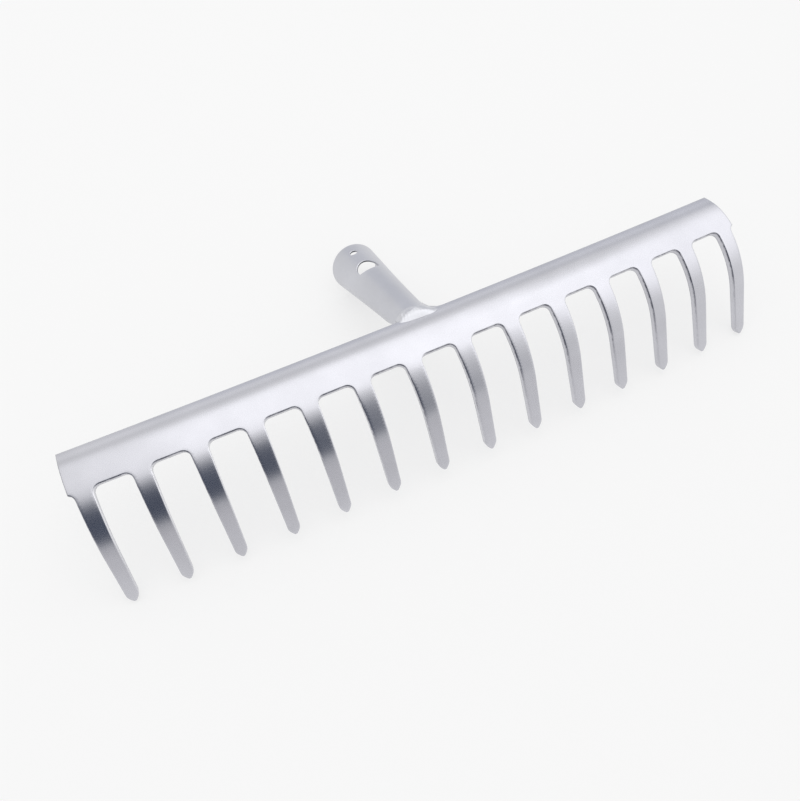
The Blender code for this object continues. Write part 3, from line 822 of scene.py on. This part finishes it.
def zinc(name, colour, low_rough, high_rough, grain):
    """Bright zinc on steel: fine grain, faint clouding, worn cuts with painted shade, painted
    highlights on some cuts, painted shading along the pressed line, and slightly uneven gloss.
    """
    material = bpy.data.materials.new(name)
    material.use_nodes = True
    tree = material.node_tree
    link = tree.links.new
    shader = tree.nodes["Principled BSDF"]
    shader.inputs["Metallic"].default_value = 1.0
    where = node(tree, "ShaderNodeTexCoord", -1200, 0)
    cloud = node(tree, "ShaderNodeTexNoise", -900, 200, Scale=38.0, Detail=5.0, Roughness=0.6)
    speck = node(tree, "ShaderNodeTexNoise", -900, -150, Scale=2400.0, Detail=3.0, Roughness=0.7)
    wear = node(tree, "ShaderNodeTexNoise", -900, 500, Scale=420.0, Detail=2.0, Roughness=0.6)
    for texture in (cloud, speck, wear):
        link(where.outputs["Object"], texture.inputs["Vector"])
    tone = node(tree, "ShaderNodeValToRGB", -600, 250)
    for stop, position, share in zip(tone.color_ramp.elements, CLOUD_NOISE, CLOUD_TONES):
        stop.position = position
        stop.color = tuple(min(share * c, 1.0) for c in colour) + (1.0,)
    link(cloud.outputs["Fac"], tone.inputs["Fac"])
    # painted highlight and shade along the pressed line
    level = node(tree, "ShaderNodeMapRange", -600, 750, From_Min=-1.0, From_Max=1.0,
                 To_Min=CREASE_SHADING_TONES[0], To_Max=CREASE_SHADING_TONES[1])
    link(stored(tree, -900, 750, "painted_crease_shading"), level.inputs["Value"])
    crease_shaded = node(tree, "ShaderNodeVectorMath", -300, 500)
    crease_shaded.operation = "SCALE"
    link(tone.outputs["Color"], crease_shaded.inputs[0])
    link(level.outputs["Result"], crease_shaded.inputs["Scale"])
    # painted highlight on the cuts that face right
    highlight_mix = node(tree, "ShaderNodeMixRGB", -150, 500, Color2=EDGE_HIGHLIGHT_PAINT)
    link(stored(tree, -300, 700, "painted_edge_highlight"), highlight_mix.inputs["Fac"])
    link(crease_shaded.outputs["Vector"], highlight_mix.inputs["Color1"])
    patchy = node(tree, "ShaderNodeMapRange", -600, 500, From_Min=WORN_NOISE[0],
                  From_Max=WORN_NOISE[1], To_Min=LEAST_WORN, To_Max=1.0)
    link(wear.outputs["Fac"], patchy.inputs["Value"])
    # darkens the cuts: thinner zinc, in patches, and painted shade
    cut = node(tree, "ShaderNodeMixRGB", 0, 300, Color2=CUT_EDGE_WEAR_AND_SHADE)
    cut.blend_type = "MULTIPLY"
    edge = stored(tree, -300, 300, "edge")
    link(combined(tree, -150, 300, "MULTIPLY", edge, patchy.outputs["Result"]), cut.inputs["Fac"])
    link(highlight_mix.outputs["Color"], cut.inputs["Color1"])
    link(cut.outputs["Color"], shader.inputs["Base Color"])
    gloss = node(tree, "ShaderNodeMapRange", -600, -50, To_Min=low_rough, To_Max=high_rough)
    link(speck.outputs["Fac"], gloss.inputs["Value"])
    link(gloss.outputs["Result"], shader.inputs["Roughness"])
    bump = node(tree, "ShaderNodeBump", -300, -250, Strength=grain, Distance=GRAIN_DEPTH)
    link(speck.outputs["Fac"], bump.inputs["Height"])
    link(bump.outputs["Normal"], shader.inputs["Normal"])
    return material


# The stage

CAMERA_PLACE = (-0.11300, -0.25009, 0.37638)
CAMERA_AIM = (0.21986, 0.50795, -0.83286)
CAMERA_RIGHT = (0.89949, -0.43601, -0.02847)
CAMERA_LENS = 38.943         # in millimetres, as the sensor's width
CAMERA_SENSOR = 36.0
CAMERA_NEAR = 0.01
BACKGROUND = (0.955, 0.955, 0.955, 1.0)
ROOM = (0.90, 0.90, 0.90, 1.0)
FLOOR_PAINT = (0.84, 0.84, 0.84, 1.0)
FLOOR_HALF = 3.0
FLOOR_GLOW = 0.7             # share of the floor's look that is its own, so that the shadow stays faint
CARD_DISTANCE = 1.6
CARD_STEPS = 40
FLOOR_CARD_HEIGHT = 1.0 * MM

# Softboxes: left and right, front and back, height, radiance
LAMPS = {
    "softbox": ((-0.3, 0.62), (-0.4, 0.88), 1.0, 0.62),
    "fill": ((-1.2, -0.3), (-0.45, 1.1), 1.0, 0.24),
}

# Cards round the object: azimuths, elevations, softness of the ends, foot and top, in degrees; colour
CARDS = {
    "flag": ((-216.0, -80.0), (-5.0, 68.0), (37.0, 20.0, 21.0), (0.076, 0.092, 0.132, 1.0)),
    "key": ((44.0, 147.0), (10.0, 64.0), (18.0, 34.0, 12.0), (1.50, 1.50, 1.51, 1.0)),
    "horizon": ((-20.0, 75.0), (-5.0, 30.0), (20.0, 12.0, 12.0), (0.735, 0.75, 0.80, 1.0)),
}

# Card on the floor: left and right, front and back, softness of its left, right, front and back; colour
FLOOR_SHADE = ((-1.0, 0.5), (-1.4, -0.05), (0.2, 0.6, 0.3, 0.2), (0.67, 0.662, 0.677, 1.0))


def make_floor():
    """A plain pale floor."""
    mesh = bpy.data.meshes.new("floor")
    corners = [(x * FLOOR_HALF, y * FLOOR_HALF, 0.0) for x, y in ((-1, -1), (1, -1), (1, 1), (-1, 1))]
    mesh.from_pydata(corners, [], [(0, 1, 2, 3)])
    floor = bpy.data.objects.new("floor", mesh)
    bpy.context.scene.collection.objects.link(floor)
    material = bpy.data.materials.new("floor_paint")
    material.use_nodes = True
    tree = material.node_tree
    tree.nodes.remove(tree.nodes["Principled BSDF"])
    paint = node(tree, "ShaderNodeBsdfDiffuse", -300, 100, Color=FLOOR_PAINT)
    glow = node(tree, "ShaderNodeEmission", -300, -100, Color=BACKGROUND, Strength=1.0)
    rays = node(tree, "ShaderNodeLightPath", -900, 300).outputs
    seen = combined(tree, -700, 300, "MAXIMUM", rays["Is Camera Ray"], rays["Is Glossy Ray"])
    seen = combined(tree, -500, 300, "MAXIMUM", seen, rays["Is Transmission Ray"])
    mix = node(tree, "ShaderNodeMixShader", -100, 100)
    tree.links.new(combined(tree, -300, 300, "MULTIPLY", seen, FLOOR_GLOW), mix.inputs[0])
    tree.links.new(paint.outputs[0], mix.inputs[1])
    tree.links.new(glow.outputs[0], mix.inputs[2])
    tree.links.new(mix.outputs[0], tree.nodes["Material Output"].inputs["Surface"])
    mesh.materials.append(material)


def make_world():
    """A pale room."""
    world = bpy.data.worlds.new("studio")
    bpy.context.scene.world = world
    world.use_nodes = True
    shader = world.node_tree.nodes["Background"]
    shader.inputs["Color"].default_value = ROOM
    shader.inputs["Strength"].default_value = 1.0


def make_lamp(name, across, ahead, height, radiance):
    """A level softbox overhead, between places in X and Y."""
    data = bpy.data.lights.new(name, "AREA")
    data.shape = "RECTANGLE"
    data.size = across[1] - across[0]
    data.size_y = ahead[1] - ahead[0]
    data.energy = radiance * data.size * data.size_y * math.pi
    lamp = bpy.data.objects.new(name, data)
    bpy.context.scene.collection.objects.link(lamp)
    lamp.location = (sum(across) / 2, sum(ahead) / 2, height)


def band(value, low, high, soft_low, soft_high):
    """One between two limits, fading to nothing over its soft ends."""
    return eased(np.clip(np.minimum((value - low) / soft_low, (high - value) / soft_high), 0.0, 1.0))


def card_grid(first, second):
    """Evenly spaced pairs of values between two pairs of limits."""
    steps = [np.linspace(*limits, CARD_STEPS + 1) for limits in (first, second)]
    return (grid.ravel() for grid in np.meshgrid(*steps))


def make_card(name, around, above, soft, colour):
    """A curved card between azimuths and elevations; soft is for its ends, its foot and its top."""
    azimuth, elevation = card_grid(around, above)
    a, e = np.radians(azimuth), np.radians(elevation)
    points = CARD_DISTANCE * np.stack([np.sin(a) * np.cos(e), np.cos(a) * np.cos(e), np.sin(e)], axis=1)
    cover = band(azimuth, *around, soft[0], soft[0]) * band(elevation, *above, soft[1], soft[2])
    hang_card(name, points, cover, colour)


def make_floor_card(name, across, ahead, soft, colour):
    """A level card just over the floor between places in X and Y; soft is for its left, right,
    front and back."""
    x, y = card_grid(across, ahead)
    cover = band(x, *across, soft[0], soft[1]) * band(y, *ahead, soft[2], soft[3])
    hang_card(name, np.stack([x, y, np.full(len(x), FLOOR_CARD_HEIGHT)], axis=1), cover, colour)


def hang_card(name, points, cover, colour):
    """A card that is only there for the metal to reflect; cover says how much of it hides the room."""
    row = CARD_STEPS + 1
    faces = [(j * row + i, j * row + i + 1, (j + 1) * row + i + 1, (j + 1) * row + i)
             for j in range(CARD_STEPS) for i in range(CARD_STEPS)]
    mesh = bpy.data.meshes.new(name)
    mesh.from_pydata([tuple(p) for p in points], [], faces)
    mesh.attributes.new("cover", "FLOAT", "POINT").data.foreach_set("value", cover.astype(np.float32))
    card = bpy.data.objects.new(name, mesh)
    bpy.context.scene.collection.objects.link(card)
    material = bpy.data.materials.new(name)
    material.use_nodes = True
    tree = material.node_tree
    tree.nodes.remove(tree.nodes["Principled BSDF"])
    clear = node(tree, "ShaderNodeBsdfTransparent", -300, 0)
    paint = node(tree, "ShaderNodeEmission", -300, -200, Color=colour, Strength=1.0)
    mix = node(tree, "ShaderNodeMixShader", -100, 0)
    tree.links.new(stored(tree, -300, 200, "cover"), mix.inputs[0])
    tree.links.new(clear.outputs[0], mix.inputs[1])
    tree.links.new(paint.outputs[0], mix.inputs[2])
    tree.links.new(mix.outputs[0], tree.nodes["Material Output"].inputs["Surface"])
    mesh.materials.append(material)
    card.visible_camera = False
    card.visible_diffuse = False
    card.visible_shadow = False


def make_camera():
    """The camera, where the photograph was taken from."""
    data = bpy.data.cameras.new("camera")
    data.sensor_fit = "HORIZONTAL"
    data.sensor_width = CAMERA_SENSOR
    data.lens = CAMERA_LENS
    data.clip_start = CAMERA_NEAR
    camera = bpy.data.objects.new("camera", data)
    bpy.context.scene.collection.objects.link(camera)
    back = -Vector(CAMERA_AIM).normalized()
    up = back.cross(Vector(CAMERA_RIGHT)).normalized()
    turn = Matrix((up.cross(back), up, back)).transposed().to_4x4()
    camera.matrix_world = Matrix.Translation(Vector(CAMERA_PLACE)) @ turn
    bpy.context.scene.camera = camera


def main():
    """Builds the pieces, the stage and the camera."""
    pieces = (
        (make_comb(), "comb", "zinc_sheet", COMB_FINISH),
        (make_socket(), "socket", "zinc_tube", TUBE_FINISH),
        (make_top_bead(), "weld", "zinc_weld", WELD_FINISH),
        (make_under_bead(), "weld", "zinc_weld_under", WELD_FINISH),
    )
    for piece, slot, name, finish in pieces:
        piece.data.materials.append(zinc(name, *finish))
        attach(piece, "root")
    make_floor()
    make_world()
    for name, lamp in LAMPS.items():
        make_lamp(name, *lamp)
    for name, card in CARDS.items():
        make_card(name, *card)
    make_floor_card("floor_shade", *FLOOR_SHADE)
    make_camera()
    bpy.context.scene.view_settings.view_transform = "Standard"


main()
